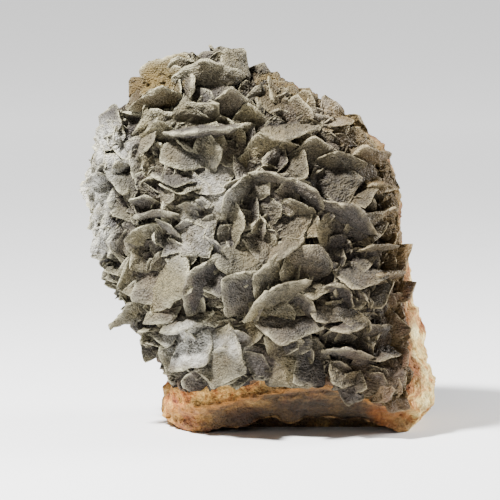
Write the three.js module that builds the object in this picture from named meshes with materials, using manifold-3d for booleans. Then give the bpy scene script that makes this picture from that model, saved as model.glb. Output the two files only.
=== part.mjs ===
// Calcite specimen: a slab of iron-stained rock that stands on its broken lower edge. Its front,
// left side and top carry a crust of lens-shaped calcite crystals that have grown into each other.
// X runs to the viewer's right, Y away from the viewer and Z up, in millimetres. The origin is
// on the flat foot, under the middle of the specimen.
import * as THREE from "three";
import { mergeVertices } from "three/addons/utils/BufferGeometryUtils.js";
import Module from "manifold-3d";

const wasm = await Module();
wasm.setup();

// The rock's cross-section at rising heights, as the outermost place of each side:
// [height, left, right, front, back]
const ROCK_LEVELS = [
  [0, -29.5, 55, -14, 28],
  [3, -33, 57.6, -17, 30],
  [9, -32.5, 58, -20.5, 32],
  [15, -31, 57.8, -22.5, 33],
  [21, -31.5, 56.5, -20.5, 34],
  [29, -36, 55, -19, 34],
  [37, -39.5, 52.5, -18.5, 34],
  [47, -42.5, 51.5, -18, 34],
  [59, -46, 50, -17, 33.5],
  [71, -49, 48.5, -15, 32.5],
  [83, -50, 47.3, -11.5, 31],
  [92, -49.5, 43.5, -8, 29.5],
  [101, -46.5, 35, -3, 28],
  [108, -42.5, 25.5, 1.5, 26],
  [114, -40.3, 9.5, 7, 24],
  [118.5, -37.5, 0, 11.5, 22],
  [121.5, -33.5, -7, 14.5, 20],
];
// Power of the rounded-box cross-section, 2 being an ellipse, at the foot and above the base
const ROCK_SQUARENESS = [4.6, 2.6];
const BASE_HEIGHT = 28;
const ROCK_SIDES = 32;
const ROCK_STEP = 7; // height between rings where the levels lie further apart
const ROCK_BUMP = 1.4; // depth of the broken surface's lumps
const FOOT_INSET = 0.8; // the flat foot's size beside the lowest ring's
// Flat breaks that cut the rock's bare corners: [direction seen from above, rise, depth], with
// directions in degrees from the right-hand side and the back at 90
const ROCK_BREAKS = [
  [52, 6, 4],
  [126, -8, 4.5],
  [110, -36, 5],
  [78, 30, 3.5],
  [40, 42, 3],
  [66, -44, 5],
  [2, 12, 2],
  [-14, -34, 2.5],
  [99, 4, 1.5],
  [82, -12, 1.5],
  [138, 36, 3],
];
const BREAK_BLOCK = 300; // size of the block that cuts a break
const ARCH_HEIGHT = 4.2; // the front of the lower edge is hollowed between its two corners
const ARCH_MIDDLE = 14;
const ARCH_HALF_WIDTH = 32;
const ARCH_BACK = -3; // how far back the hollow reaches
const ARCH_SIDES = 14;

const BED_THICKNESS = 2.4; // the crust that the crystals stand in
const CLEARANCE = 0.3; // between the rock and the crust
const BED_BACK = 15; // how far back the crust reaches on the left side and the top
const BED_FRONT = -60; // clear of the rock's front

// The crust's outline, seen from the front: [x, height]. On the left side and the top it stands
// clear of the rock by the reach of the crystals there.
const CRUST_OUTLINE = [
  [-59, 79],
  [-56.5, 68],
  [-56, 58],
  [-52.5, 50],
  [-47, 43],
  [-41, 33],
  [-35, 25],
  [-28, 13.5],
  [-14, 17.5],
  [4, 19.5],
  [22, 18],
  [36, 12.5],
  [46, 9],
  [49, 15],
  [48.5, 34],
  [47, 55],
  [45, 73],
  [44.5, 85],
  [40.5, 92],
  [32.5, 101],
  [23.5, 107.5],
  [10, 113.5],
  [4.5, 118],
  [-6, 120.5],
  [-8, 126],
  [-15, 127.5],
  [-25, 124.5],
  [-31, 126],
  [-37, 123.5],
  [-40, 116],
  [-43, 107.5],
  [-50, 104.5],
  [-54, 98.5],
  [-56.5, 88],
];

// A crystal is a lens whose outline runs from round, 0, to a pointed lozenge, 1, with its points
// along its long axis.
const LENS_HALF_THICKNESS = 0.17; // of its radius
const LENS_EXTRA_THICKNESS = 0.25;
const LENS_CORNERS = 8;
const SMALL_LENS_CORNERS = 6;
const SMALL_LENS_RADIUS = 6.4;
const LOZENGE_NARROWING = 0.3;
const LOZENGE_POWER = 0.85;
const STAND_SHARE = 0.5; // a crystal's middle stands out at most this far of its reach
const OUTLINE_UNEVENNESS = 0.09;
const TIP_SHIFT = 0.15; // how far the two tips lie along the long axis, at most, of its radius

// The crystals of the front: [x, height, radius, tilt, lean, stand, point]. Tilt is the angle
// from facing the viewer, lean the way that the face looks (0 up, 90 right, 180 down, -90 left)
// and stand how far the middle is in front of the bed.
const TOP_CRYSTALS = [
  [-31, 117.4, 9.8, 20, -60, 2, 0.1],
  [-18, 122.2, 6, 35, -35, 0, 0.5],
  [-9, 122.6, 5.5, 30, 50, 1, 0.4],
  [-18.7, 115.9, 10, 30, 180, 3, 0.15],
  [-8.3, 117.4, 5.8, 25, 90, 1, 0.6],
  [-0.7, 116.5, 5.8, 25, 20, 0, 0.3],
  [-24.7, 113.8, 6.4, 72, -85, 6, 0.5],
  [-17, 112.5, 6.2, 45, -20, 5, 0.5],
  [-40.3, 109.2, 5, 50, -20, 1, 0.3],
  [-32.7, 110, 8.6, 50, 168, 5, 0.8],
  [9, 108.5, 6.4, 25, 15, 1, 0.2],
  [5.3, 112.4, 5.2, 72, 60, 2, 0.3],
  [-8.7, 107.8, 9.2, 45, 175, 4, 0.6],
  [-4.7, 103.4, 6.2, 30, 170, 3, 0.3],
  [-24.3, 104.1, 8, 25, -15, 3, 0.1],
  [-18.3, 105.5, 6.6, 45, -140, 3, 0.3],
  [21, 105.7, 7.2, 50, 30, 0, 0.1],
  [23.7, 105.7, 5.2, 35, 60, 2, 0.6],
  [3.7, 109.2, 5.6, 65, 20, 2, 0.4],
  [10.3, 104.7, 7.6, 25, 5, 2, 0.2],
  [9.3, 101.5, 8.8, 80, -6, 4, 0.2],
  [18.3, 97.7, 6, 20, 20, 2, 0.2],
  [24.3, 99.6, 5.4, 25, -30, 2, 0.7],
  [25, 103.6, 6, 80, -5, 3, 0.3],
];
const UPPER_LEFT_CRYSTALS = [
  [-50.7, 103, 5.5, 50, -70, 3, 0.5],
  [-51.3, 98.7, 5.2, 45, -85, 2, 0.2],
  [-38.3, 98.7, 6.4, 65, -60, 4, 0.3],
  [-32.7, 99.3, 7, 40, 180, 5, 0.5],
  [-41.3, 103.9, 6, 30, -20, 1, 0.3],
  [-36.3, 104.2, 5.2, 45, 70, 2, 0.4],
  [-18, 100.3, 12, 82, 175, 6, 0.3],
  [-17.3, 94.6, 7.6, 58, -100, 5, 0.3],
  [-25.7, 94.3, 8, 40, -5, 4, 0.8],
  [-29.3, 90.7, 5.4, 30, 0, 1, 0.2],
  [-49.7, 89.6, 7.8, 35, -50, 3, 0.2],
  [-40.3, 83.4, 6, 35, -50, 3, 0.5],
  [-54.3, 83.7, 5.5, 60, 170, 2, 1],
  [-49.7, 82.4, 6.2, 45, -50, 5, 0.7],
  [-45, 84.7, 6, 55, 10, 2, 0.3],
  [-51.3, 75.3, 5.8, 40, -60, 3, 0.1],
  [-38, 77.2, 5.4, 55, -170, 4, 0.5],
  [-33.7, 74.3, 6.7, 72, 180, 4, 0.5],
  [-27.7, 86.6, 7.2, 72, 3, 3, 0.3],
  [-25, 79.1, 7.2, 20, -20, 4, 0.1],
  [-31.7, 80.8, 5.4, 60, -70, 3, 0.3],
  [-25.3, 84, 6.2, 75, 0, 4, 0.4],
  [-16, 86.4, 7.2, 40, -20, 3, 0.6],
  [-15.3, 78.5, 6.4, 45, -75, 5, 0.2],
  [-19.7, 77, 5.5, 20, 20, 2, 0.3],
];
const UPPER_RIGHT_CRYSTALS = [
  [2.3, 94.3, 7.2, 25, 170, 3, 0.5],
  [16.7, 92.5, 7.8, 28, 180, 4, 0.15],
  [35, 91.5, 8.4, 60, 170, 2, 0.2],
  [38.5, 89, 5.5, 50, 60, 0, 0.1],
  [-7.7, 92.7, 6.8, 25, 20, 3, 0.5],
  [10.7, 89.7, 6.4, 45, -60, 3, 0.2],
  [5, 90.7, 5.4, 30, 100, 1, 0.3],
  [26.3, 90.7, 7.2, 45, 180, 3, 0.2],
  [25, 84.5, 7.2, 30, -20, 2, 0.7],
  [-6, 80.1, 11.4, 55, 118, 6, 0.4],
  [3, 85.4, 9, 60, -160, 5, 0.3],
  [6, 81, 7.2, 25, -20, 6, 0.6],
  [15.7, 80.1, 8.4, 62, -135, 6, 0.5],
  [29.7, 73.5, 10, 62, -153, 6, 0.5],
  [33.3, 80.8, 6, 65, -15, 3, 0.6],
  [40, 84.3, 6, 60, 20, 3, 0.2],
  [39.7, 76.9, 6, 35, 30, 0, 0.2],
  [37, 63, 6, 72, 170, 3, 0.4],
  [31, 66.5, 6, 30, 190, 1, 0.3],
];
const MIDDLE_CRYSTALS = [
  [-51.3, 62.9, 6.2, 20, -30, 3, 0.1],
  [-43.7, 67.1, 6.8, 50, -80, 5, 0.2],
  [-37.3, 67.2, 6, 40, 165, 5, 0.2],
  [-21.7, 66.5, 7.2, 35, -40, 5, 0.6],
  [-30.3, 51.9, 10.2, 58, -65, 6, 0.4],
  [-25, 55.6, 5.4, 30, 30, 5, 0.6],
  [-35.3, 50.7, 7.2, 35, -30, 4, 0.5],
  [-42.7, 50.4, 6, 55, -70, 2, 0.5],
  [-19.7, 50.9, 11, 52, 118, 7, 0.3],
  [-11, 51.4, 7.6, 25, -50, 4, 0.2],
  [-5, 60.6, 9.4, 38, 0, 5, 0.6],
  [-5.3, 48.7, 9.6, 42, 130, 6, 0.3],
  [-16.3, 64.2, 6, 65, -130, 3, 0.3],
  [-8.3, 71.4, 6.6, 68, -85, 5, 0.3],
  [-3.3, 72.5, 7.2, 20, 30, 4, 0.6],
  [3, 70.5, 5.2, 30, 30, 3, 0.5],
  [9.3, 70.5, 6.2, 35, -30, 3, 0.7],
  [7, 63.9, 7.8, 74, -30, 4, 0.3],
  [15.5, 58.4, 8.8, 25, 180, 5, 0.1],
  [6.3, 54.6, 9.6, 38, 120, 4, 0.1],
  [5.3, 47.3, 11.4, 62, 150, 7, 0.4],
  [15.7, 51.4, 6.6, 68, 5, 7, 0.3],
  [24, 50.6, 5.4, 70, 175, 3, 0.3],
  [32, 55.3, 8.4, 68, 8, 3, 0.2],
  [44, 58.4, 5.4, 20, -40, 2, 0.2],
  [40, 53.6, 6, 75, 172, 2, 0.3],
  [37.7, 47.9, 6, 35, -30, 3, 0.7],
  [46, 47.6, 5.3, 35, -30, 2, 0.8],
  [32.3, 47.9, 5.4, 68, -132, 4, 0.4],
  [22, 61.5, 5.4, 40, 60, 1, 0.3],
];
const LOWER_CRYSTALS = [
  [21.7, 44.4, 7.8, 48, 20, 5, 0.8],
  [20.3, 40.7, 5.4, 55, -170, 5, 0.6],
  [29.7, 41.8, 5.4, 55, 15, 4, 0.6],
  [28, 38.3, 6, 78, 0, 5, 0.3],
  [9, 36.3, 10.4, 62, 0, 7, 0.8],
  [9.3, 25, 8.8, 15, -40, 6, 0.3],
  [17, 23.3, 7.2, 40, 55, 5, 0.4],
  [16.7, 31.1, 5.2, 40, -150, 4, 0.6],
  [29, 28.8, 7.6, 68, -175, 5, 0.3],
  [27.3, 23, 5.4, 40, 40, 4, 0.4],
  [34.7, 20.5, 6, 20, 20, 3, 0.2],
  [42.5, 20.5, 6, 25, 10, 3, 0.5],
  [38.3, 34.3, 5.4, 40, 140, 3, 0.7],
  [43.3, 35.7, 5.8, 15, -80, 1, 0.5],
  [39.3, 28.4, 6, 70, 0, 3, 0.3],
  [-7, 27.6, 10, 12, 20, 5, 0.15],
  [-12.7, 28.6, 9.6, 45, -70, 7, 0.4],
  [-4.3, 37.6, 6, 35, -70, 5, 0.7],
  [-18.7, 25.7, 5.5, 40, 135, 5, 0.4],
  [-22.7, 30.4, 8.4, 55, -45, 6, 0.2],
  [-24.7, 39.4, 7.6, 78, -20, 5, 0.5],
  [-40.5, 40.2, 8.4, 60, 155, 4, 0.6],
  [-32.3, 34.2, 5.4, 40, 0, 2, 0.3],
  [-21, 19.4, 5.4, 40, 150, 3, 0.4],
];

// The crystals on the left side and the top, which the front view doesn't show: how many, where
// round the rock (degrees from the right-hand side, with the front at 270) and at what heights.
const SIDE_CRYSTALS = [
  { count: 24, from: 152, to: 212, low: 42, high: 108, radius: [4, 7.5] },
  { count: 12, from: 60, to: 165, low: 116, high: 119, radius: [4, 6.5] },
];
// Small crystals fill the gaps between the listed ones, on an uneven grid of the front
const FILLER_STEP = 9.6;
const FILLER_UNEVENNESS = 2.5;
const FILLER_RADIUS = [4.6, 6.2];
const FILLER_TILT = [20, 75];
const FILLER_STAND = 1.5;
const FILLER_CLOSENESS = 0.78; // of the two radii, nearer than which a place is taken
const LEAST_RADIUS = 3.5;
const EDGE_SHARE = 0.6; // the least distance to the outline of an unlisted crystal, of its radius
const SIDE_LEAN = 0.7; // how far a side crystal's face turns outwards, edge-out being 0
const SEED = 7411;
const MERGE_DISTANCE = 1e-4;
const SIMPLIFY = 0.1; // how closely the joined solids' flat stretches are kept

const rad = THREE.MathUtils.degToRad;

// Repeatable numbers from 0 to 1
function randomFrom(seed) {
  let state = seed;
  return () => {
    state = (state * 16807) % 2147483647;
    return state / 2147483647;
  };
}

// Smooth lumps of the broken rock, from -1 to 1
function lumps(x, y, z) {
  return (
    0.45 * Math.sin(x * 0.31 + 1.7 * Math.sin(z * 0.13)) +
    0.35 * Math.sin(z * 0.27 + y * 0.19 + 2.1 * Math.sin(x * 0.09)) +
    0.35 * Math.sin(y * 0.37 - x * 0.23 + z * 0.41)
  );
}

function between([low, high], share) {
  return low + (high - low) * share;
}

function rockSection(z) {
  const above = ROCK_LEVELS.findIndex((level) => level[0] >= z);
  const b = ROCK_LEVELS[above < 0 ? ROCK_LEVELS.length - 1 : Math.max(above, 1)];
  const a = ROCK_LEVELS[ROCK_LEVELS.indexOf(b) - 1];
  const t = THREE.MathUtils.clamp((z - a[0]) / (b[0] - a[0]), 0, 1);
  const [left, right, front, back] = [1, 2, 3, 4].map((k) => a[k] + t * (b[k] - a[k]));
  return {
    x: (left + right) / 2,
    y: (front + back) / 2,
    halfWidth: (right - left) / 2,
    halfDepth: (back - front) / 2,
  };
}

function squareness(z) {
  return between(ROCK_SQUARENESS, THREE.MathUtils.clamp(z / BASE_HEIGHT, 0, 1));
}

function roundedBox(value, z) {
  return Math.sign(value) * Math.abs(value) ** (2 / squareness(z));
}

// A point of the rock's surface at an angle round it and a height, and the way out of the rock
function rockPoint(angle, z, grow = 0) {
  const s = rockSection(z);
  const c = roundedBox(Math.cos(angle), z);
  const d = roundedBox(Math.sin(angle), z);
  const out = new THREE.Vector3(c / s.halfWidth, d / s.halfDepth, 0).normalize();
  const point = new THREE.Vector3(s.x + s.halfWidth * c, s.y + s.halfDepth * d, z);
  const bump = ROCK_BUMP * lumps(point.x, point.y, point.z);
  point.addScaledVector(out, grow + bump);
  return { point, out };
}

// How far forward the rock's front is at a place of the front view
function rockFront(x, z) {
  const s = rockSection(z);
  const across = THREE.MathUtils.clamp((x - s.x) / s.halfWidth, -0.97, 0.97);
  const power = squareness(z);
  const share = (1 - Math.abs(across) ** power) ** (1 / power);
  const y = s.y - s.halfDepth * share;
  return y - ROCK_BUMP * lumps(x, y, z);
}

// A solid of a closed geometry, its shared corners merged
function solidOf(geometry) {
  geometry.deleteAttribute("normal");
  geometry.deleteAttribute("uv");
  const merged = mergeVertices(geometry, MERGE_DISTANCE);
  return new wasm.Manifold(
    new wasm.Mesh({
      numProp: 3,
      vertProperties: new Float32Array(merged.attributes.position.array),
      triVerts: new Uint32Array(merged.index.array),
    }),
  );
}

function solidFrom(vertices, faces) {
  const geometry = new THREE.BufferGeometry();
  geometry.setAttribute("position", new THREE.Float32BufferAttribute(vertices, 3));
  geometry.setIndex(faces);
  return solidOf(geometry);
}

function geometryFrom(solid) {
  const mesh = solid.getMesh();
  const geometry = new THREE.BufferGeometry();
  geometry.setAttribute("position", new THREE.Float32BufferAttribute(mesh.vertProperties, 3));
  geometry.setIndex(new THREE.BufferAttribute(mesh.triVerts, 1));
  geometry.computeVertexNormals();
  return geometry;
}

// A closed body through rings of equally many points, from the lowest ring to the highest
function loft(rings) {
  const n = rings[0].length;
  const vertices = rings.flatMap((ring) => ring.flatMap((p) => p.toArray()));
  const faces = [];
  for (let level = 0; level + 1 < rings.length; level++) {
    for (let k = 0; k < n; k++) {
      const a = level * n + k;
      const b = level * n + ((k + 1) % n);
      faces.push(a, b, b + n, a, b + n, a + n);
    }
  }
  const cap = (ring, start, upward) => {
    const middle = ring.reduce((sum, p) => sum.add(p), new THREE.Vector3()).divideScalar(n);
    const centre = vertices.length / 3;
    vertices.push(...middle.toArray());
    for (let k = 0; k < n; k++) {
      const edge = [start + k, start + ((k + 1) % n)];
      faces.push(centre, ...(upward ? edge : edge.reverse()));
    }
  };
  cap(rings[0], 0, false);
  cap(rings.at(-1), (rings.length - 1) * n, true);
  return solidFrom(vertices, faces);
}

// A flat round bar across the depth, for the hollow under the front of the lower edge
function archSolid() {
  const depth = ARCH_BACK - BED_FRONT;
  const bar = new THREE.CylinderGeometry(1, 1, depth, ARCH_SIDES);
  bar.scale(ARCH_HALF_WIDTH, 1, ARCH_HEIGHT);
  bar.translate(ARCH_MIDDLE, ARCH_BACK - depth / 2, 0);
  return solidOf(bar);
}

function rockHeights() {
  const heights = [];
  ROCK_LEVELS.forEach(([z], k) => {
    const gap = k ? z - ROCK_LEVELS[k - 1][0] : 0;
    const steps = Math.max(1, Math.round(gap / ROCK_STEP));
    for (let s = 1; s <= steps; s++) heights.push(z - gap + (gap * s) / steps);
  });
  return heights;
}

// The whole rock, or the rock grown outwards on all sides but its foot
function rockSolid(grow = 0) {
  const angles = Array.from({ length: ROCK_SIDES }, (_, k) => (k / ROCK_SIDES) * 2 * Math.PI);
  const rings = rockHeights().map((z) => angles.map((angle) => rockPoint(angle, z, grow).point));
  rings.at(-1).forEach((p) => (p.z += grow));
  const middle = new THREE.Vector3(rockSection(0).x, rockSection(0).y, 0);
  const foot = rings[0].map((p) => p.clone().sub(middle).multiplyScalar(FOOT_INSET).add(middle));
  foot.forEach((p) => (p.z = 0));
  const whole = loft([foot, ...rings]).subtract(archSolid());
  return ROCK_BREAKS.reduce(cutBreak, whole);
}

// Cuts a flat break to a depth below the furthest point in its direction
function cutBreak(solid, [direction, rise, depth]) {
  const flat = Math.cos(rad(rise));
  const out = new THREE.Vector3(
    flat * Math.cos(rad(direction)),
    flat * Math.sin(rad(direction)),
    Math.sin(rad(rise)),
  );
  const points = solid.getMesh().vertProperties;
  let reach = -Infinity;
  for (let k = 0; k < points.length; k += 3) {
    reach = Math.max(reach, out.dot(new THREE.Vector3().fromArray(points, k)));
  }
  const block = new THREE.BoxGeometry(BREAK_BLOCK, BREAK_BLOCK, BREAK_BLOCK);
  block.applyQuaternion(new THREE.Quaternion().setFromUnitVectors(new THREE.Vector3(0, 0, 1), out));
  block.translate(...out.multiplyScalar(reach - depth + BREAK_BLOCK / 2).toArray());
  return solid.subtract(solidOf(block));
}

function outlineRadius(angle, radius, point) {
  const narrow = 1 - LOZENGE_NARROWING * point;
  const power = 2 - LOZENGE_POWER * point;
  const along = Math.abs(Math.cos(angle)) ** power;
  const across = (Math.abs(Math.sin(angle)) / narrow) ** power;
  return radius / (along + across) ** (1 / power);
}

// One lens: a rim of uneven corners and a low tip on each side, a little off its middle
function lensSolid(centre, normal, longAxis, radius, point, random) {
  const third = normal.clone().cross(longAxis);
  const half = LENS_HALF_THICKNESS * radius + LENS_EXTRA_THICKNESS;
  const place = (u, v, w) =>
    centre.clone().addScaledVector(longAxis, u).addScaledVector(third, v).addScaledVector(normal, w);
  const n = radius < SMALL_LENS_RADIUS ? SMALL_LENS_CORNERS : LENS_CORNERS;
  const rim = Array.from({ length: n }, (_, k) => {
    const angle = (k / n) * 2 * Math.PI;
    const uneven = 1 + OUTLINE_UNEVENNESS * (2 * random() - 1);
    const r = outlineRadius(angle, radius, point) * uneven;
    return [r * Math.cos(angle), r * Math.sin(angle)];
  });
  const vertices = rim.flatMap(([u, v]) => place(u, v, 0).toArray());
  const faces = [];
  const tipShift = TIP_SHIFT * radius * (2 * random() - 1);
  vertices.push(...place(tipShift, 0, -half).toArray(), ...place(tipShift, 0, half).toArray());
  for (let k = 0; k < n; k++) {
    const next = (k + 1) % n;
    faces.push(n, next, k, n + 1, k, next);
  }
  return solidFrom(vertices, faces);
}

function frontLens([x, z, radius, tilt, lean, stand, point], random) {
  const sideways = new THREE.Vector3(Math.sin(rad(lean)), 0, Math.cos(rad(lean)));
  const longAxis = new THREE.Vector3(Math.cos(rad(lean)), 0, -Math.sin(rad(lean)));
  const normal = sideways.multiplyScalar(Math.sin(rad(tilt)));
  normal.y = -Math.cos(rad(tilt));
  const reach = radius * Math.sin(rad(tilt)) + LENS_HALF_THICKNESS * radius;
  const out = BED_THICKNESS + Math.min(stand, STAND_SHARE * reach);
  const centre = new THREE.Vector3(x, rockFront(x, z) - out, z);
  return lensSolid(centre, normal, longAxis, radius, point, random);
}

// How far inside the crust's outline a place of the front view is, negative outside it
function outlineDepth(x, z) {
  let inside = false;
  let nearest = Infinity;
  CRUST_OUTLINE.forEach(([x1, z1], k) => {
    const [x2, z2] = CRUST_OUTLINE.at(k - 1);
    if (z1 > z !== z2 > z && x < x1 + ((z - z1) / (z2 - z1)) * (x2 - x1)) inside = !inside;
    const along = ((x - x1) * (x2 - x1) + (z - z1) * (z2 - z1)) / ((x2 - x1) ** 2 + (z2 - z1) ** 2);
    const share = THREE.MathUtils.clamp(along, 0, 1);
    nearest = Math.min(nearest, Math.hypot(x - x1 - share * (x2 - x1), z - z1 - share * (z2 - z1)));
  });
  return inside ? nearest : -nearest;
}

function onRock(x, z) {
  const s = rockSection(z);
  return Math.abs(x - s.x) < s.halfWidth;
}

function fillerRows(rows, random) {
  const fillers = [];
  const top = ROCK_LEVELS.at(-1)[0];
  for (let z = 0; z < top; z += FILLER_STEP) {
    for (let x = CRUST_OUTLINE[0][0]; x < -CRUST_OUTLINE[0][0]; x += FILLER_STEP) {
      const shares = Array.from({ length: 7 }, random);
      const place = [0, 1].map((k) => FILLER_UNEVENNESS * (2 * shares[k] - 1));
      const row = [
        x + place[0],
        z + place[1],
        between(FILLER_RADIUS, shares[2]),
        between(FILLER_TILT, shares[3]),
        between([-90, 90], shares[4]),
        FILLER_STAND * shares[5],
        shares[6],
      ];
      const taken = rows.some(
        ([rx, rz, r]) => Math.hypot(row[0] - rx, row[1] - rz) < FILLER_CLOSENESS * (r + row[2]),
      );
      const inside = outlineDepth(row[0], row[1]) > EDGE_SHARE * row[2];
      if (!taken && inside && onRock(row[0], row[1])) fillers.push(row);
    }
  }
  return fillers;
}

function sideLens({ from, to, low, high, radius }, random) {
  const angle = rad(from + (to - from) * random());
  const { point, out } = rockPoint(angle, low + (high - low) * random(), BED_THICKNESS / 2);
  const wanted = between(radius, random());
  const size = Math.min(wanted, outlineDepth(point.x, point.z) / EDGE_SHARE);
  const spin = 2 * Math.PI * random();
  const up = new THREE.Vector3(0, 0, 1);
  const along = out.clone().cross(up);
  const flat = up.multiplyScalar(Math.cos(spin)).addScaledVector(along, Math.sin(spin));
  const normal = flat.clone().addScaledVector(out, SIDE_LEAN * (2 * random() - 1)).normalize();
  const longAxis = out.clone().cross(normal).normalize();
  if (size < LEAST_RADIUS) return null;
  return lensSolid(point, normal, longAxis, size, random(), random);
}

function crustRegion() {
  const outline = new THREE.Shape(CRUST_OUTLINE.map(([x, z]) => new THREE.Vector2(x, z)));
  const depth = BED_BACK - BED_FRONT;
  const block = new THREE.ExtrudeGeometry(outline, { depth, bevelEnabled: false });
  // The outline is drawn in X and Z, and the extrusion runs towards the viewer
  block.rotateX(Math.PI / 2);
  block.translate(0, BED_BACK, 0);
  return solidOf(block);
}

function crustSolid() {
  const random = randomFrom(SEED);
  const rows = [
    ...TOP_CRYSTALS,
    ...UPPER_LEFT_CRYSTALS,
    ...UPPER_RIGHT_CRYSTALS,
    ...MIDDLE_CRYSTALS,
    ...LOWER_CRYSTALS,
  ];
  rows.push(...fillerRows(rows, random));
  const lenses = rows.map((row) => frontLens(row, random));
  for (const band of SIDE_CRYSTALS) {
    for (let k = 0; k < band.count; k++) {
      const lens = sideLens(band, random);
      if (lens) lenses.push(lens);
    }
  }
  const bed = rockSolid(BED_THICKNESS).intersect(crustRegion());
  const grown = lenses.reduce((sum, lens) => sum.add(lens), bed);
  const pieces = grown.subtract(rockSolid(CLEARANCE)).simplify(SIMPLIFY).decompose();
  return pieces.reduce((best, piece) => (piece.volume() > best.volume() ? piece : best));
}

const rockMaterial = new THREE.MeshStandardMaterial({ color: 0x9a7350, roughness: 0.9 });
const calciteMaterial = new THREE.MeshStandardMaterial({ color: 0x9c9482, roughness: 0.7 });

const rock = new THREE.Mesh(geometryFrom(rockSolid().simplify(SIMPLIFY)), rockMaterial);
rock.name = "rock_matrix";
const crust = new THREE.Mesh(geometryFrom(crustSolid()), calciteMaterial);
crust.name = "calcite_crystal_crust";

const specimen = new THREE.Group();
specimen.name = "calcite_specimen";
specimen.add(rock, crust);

export default specimen;
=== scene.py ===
import random
from math import atan2, cos, exp, hypot, pi, radians, sin

import bmesh
import bpy
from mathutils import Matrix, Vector, noise
from mathutils.bvhtree import BVHTree


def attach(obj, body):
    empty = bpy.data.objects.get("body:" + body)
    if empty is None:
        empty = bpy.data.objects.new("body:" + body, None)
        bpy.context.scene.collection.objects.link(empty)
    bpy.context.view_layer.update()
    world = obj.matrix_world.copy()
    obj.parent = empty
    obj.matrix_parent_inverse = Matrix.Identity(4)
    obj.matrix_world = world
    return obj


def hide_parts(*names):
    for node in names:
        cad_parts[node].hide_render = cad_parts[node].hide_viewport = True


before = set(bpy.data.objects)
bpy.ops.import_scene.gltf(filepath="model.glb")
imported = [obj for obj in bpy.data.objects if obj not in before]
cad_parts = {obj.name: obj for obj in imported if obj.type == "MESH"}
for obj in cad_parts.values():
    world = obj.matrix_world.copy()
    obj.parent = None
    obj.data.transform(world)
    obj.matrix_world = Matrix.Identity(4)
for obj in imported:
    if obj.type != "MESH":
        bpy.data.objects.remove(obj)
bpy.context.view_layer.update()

MM = 0.001
FRONT = Vector((0, -1, 0))
SEED = 7411

# The camera stands straight in front, a little above, and far enough away for a long lens
CAMERA_RISE = 9  # degrees
CAMERA_DISTANCE = 1450
CAMERA_TARGET = Vector((-3.7, -10, 61.5))
PICTURE_WIDTH = 166.7  # what the frame takes in, at the target
SENSOR_WIDTH = 36

# The crust's bed on the rock
BED_THICKNESS = 2.4
BED_ROUGHNESS = 1.1
BED_SINK = 6  # how deep it lies under the bare rock
BED_BACK = 15  # how far back the crust reaches on the left side and the top
BED_FADE = 3  # width of the ragged border
BORDER_WANDER = 2.2
# The crust's outline, seen from the front, as x and height. On the left side and the top it
# stands clear of the rock by the reach of the crystals there.
CRUST_OUTLINE = (
    (-59, 79), (-56.5, 68), (-56, 58), (-52.5, 50), (-47, 43), (-41, 33), (-35, 25), (-28, 13.5),
    (-14, 17.5), (4, 19.5), (22, 18), (36, 12.5), (46, 9), (49, 15), (48.5, 34), (47, 55),
    (45, 73), (44.5, 85), (40.5, 92), (32.5, 101), (23.5, 107.5), (10, 113.5), (4.5, 118),
    (-6, 120.5), (-8, 126), (-15, 127.5), (-25, 124.5), (-31, 126), (-37, 123.5), (-40, 116),
    (-43, 107.5), (-50, 104.5), (-54, 98.5), (-56.5, 88),
)
# The sharp ridge along the rock's bare front, as x and height
RIDGE = ((-34, 6), (-26, 8.6), (-4, 13), (13, 18.5), (22, 18), (37, 11.7), (48, 9), (60, 6))
RIDGE_OUT = 1.6
RIDGE_WIDTH = 2
RIDGE_WANDER = 0.8
IRON_WIDTH = 1.5  # of the orange stain along it
UNDERCUT = 2.4
UNDERCUT_HEIGHT = 3
LEDGE_HEIGHT = 3  # over which the rock above the ridge grows lighter
SHADE_HEIGHT = 8  # over which painted shade darkens the rock below the ridge
FOOT_FLAT = 0.4  # height up to which the foot is left smooth, and then where the relief is full
FOOT_FADE = 2.5
ROCK_RELIEF = ((19, 2.2), (7, 1.2), (2.2, 0.5))  # size and height of its flats, steps and chips
ROCK_GRAIN = 0.95  # size of the rock's and the bed's surface squares

# A crystal is a lens whose outline runs from round, 0, to a lozenge with sharp points, 1
THICKNESS = (0.12, 0.24)  # half of it, as a share of the radius
EDGE_ROUNDING = (0.6, 1.0)  # from a thick rounded edge to a thin sharp one
BLUNT_EDGE = 0.024  # half the edge's thickness, of the radius
BULGE = (1.6, 4.0)  # from an even lens to a flat plate
FACE_BEND = 0.06  # how much a plate is twisted, of the radius
FACE_RIDGES = (0.1, 0.35)  # of the three low ridges on each face
FACE_CHIPS = 3
FACE_RELIEF = 0.8
WARP = 0.25
SPREAD = (45, 54)  # degrees from the long axis at which the four main sides face
SPREAD_WANDER = 0.13
MAIN_SIDES = (0.6, 0.85)  # their distance from the middle
EXTRA_SIDES = (0.7, 1.0)
SHARPNESS = (6, 22)  # of the corners
NICKS = 0.07
EDGE_SHARE = 0.6  # the least distance to the outline of an unlisted crystal, of its radius
STAND_SHARE = 0.5
PROUD = (1.5, 9.5)  # distances from the rock over which the painted shade of the depths fades out towards the tips
# The crystal on the top left corner is yellow-brown, and so are those along the right edge
BROWN_CORNER = (-35, 118)
BROWN_CORNER_SIZE = 8
BROWN_EDGE_SIZE = 9
BROWN_EDGE_HIGH = 60  # above it they reach from the middle on, below it only from BROWN_EDGE_LOW_X on
BROWN_EDGE_LOW_X = 34
# Where the finest crystals whiten the large ones, as x, height, size and strength
FROST = (
    (-24, 32, 7, 1), (-17, 34, 4, 1), (-8, 33, 4, 0.6), (-15, 84, 8, 0.4), (-24, 68, 10, 0.3),
    (23, 108, 5, 0.7), (-51, 95, 8, 0.7), (-58, 80, 8, 0.9), (-58, 66, 8, 0.9),
)

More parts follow.
